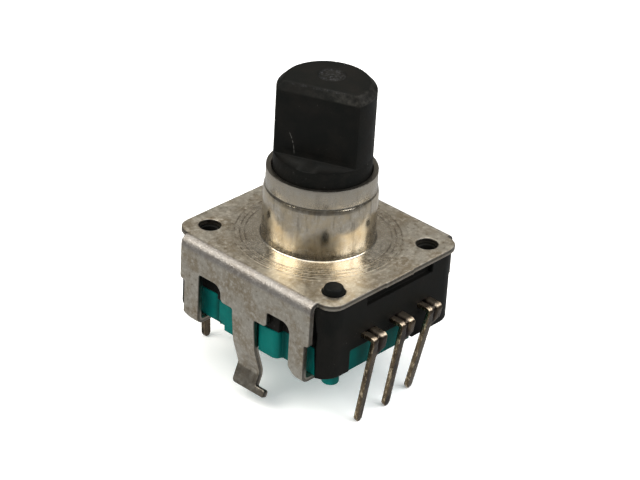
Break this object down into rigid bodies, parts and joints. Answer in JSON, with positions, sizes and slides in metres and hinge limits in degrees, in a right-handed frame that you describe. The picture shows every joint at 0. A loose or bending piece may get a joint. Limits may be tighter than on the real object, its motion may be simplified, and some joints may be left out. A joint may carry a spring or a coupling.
{
  "type": "rotary encoder",
  "caption": "Rotary encoder with detents and a push switch: plastic D shaft in a drawn steel bushing, steel cover with snap-in lugs, black case, teal base and pin terminals.",
  "frame": {"origin": "on the shaft's axis, in the plane of the stand-off feet, which is the circuit board's top face", "axes": "+Z along the shaft, out of the board; -Y towards the encoder terminals; the two skirts with the lugs face -X and +X"},
  "size_m": [0.0126, 0.0145, 0.0198],
  "materials": {
    "cover_steel": "satin, tarnished, drawn sheet steel",
    "case_plastic": "satin moulded, glass-filled",
    "base_plastic": "satin moulded",
    "shaft_plastic": "satin moulded, scuffed",
    "washer_plastic": "matt film",
    "spring_steel": "bright cold-rolled",
    "rotor_plastic": "satin acetal",
    "contact_plating": "silver-plated, bright",
    "terminal_brass": "tarnished, tin and solder stained",
    "wiper_brass": "bright phosphor bronze",
    "dome_steel": "bright spring steel",
    "film": "amber polyimide film",
    "plunger_plastic": "satin acetal"
  },
  "bodies": {
    "root": {"cover": "cover_steel", "case": "case_plastic", "base": "base_plastic", "slide_washer": "washer_plastic", "click_spring": "spring_steel", "rotor_washer": "washer_plastic", "terminal_a": "terminal_brass", "terminal_c": "terminal_brass", "terminal_b": "terminal_brass", "wiper_a": "wiper_brass", "wiper_c": "wiper_brass", "wiper_b": "wiper_brass", "switch_terminal_centre": "terminal_brass", "switch_terminal_rim": "terminal_brass", "snap_dome": "dome_steel", "dome_film": "film"},
    "turning_rotor": {"rotor": "rotor_plastic", "code_plate": "contact_plating"},
    "sliding_shaft": {"shaft": "shaft_plastic"},
    "switch_plunger": {"plunger": "plunger_plastic"}
  },
  "joints": [
    {"name": "shaft_turn", "type": "hinge", "parent": "root", "child": "turning_rotor", "pos_m": [0, 0, 0.0037], "axis": [0, 0, 1], "continuous": true},
    {"name": "shaft_push", "type": "slide", "parent": "turning_rotor", "child": "sliding_shaft", "axis": [0, 0, -1], "range_m": [0, 0.0005], "stiffness_N_per_m": 6000, "springref_m": -0.0002, "deforming": ["snap_dome"]},
    {"name": "plunger_travel", "type": "slide", "parent": "root", "child": "switch_plunger", "axis": [0, 0, -1], "range_m": [0, 0.0005]}
  ],
  "couplings": [
    {"joint": "plunger_travel", "follows": "shaft_push", "ratio": 1}
  ]
}
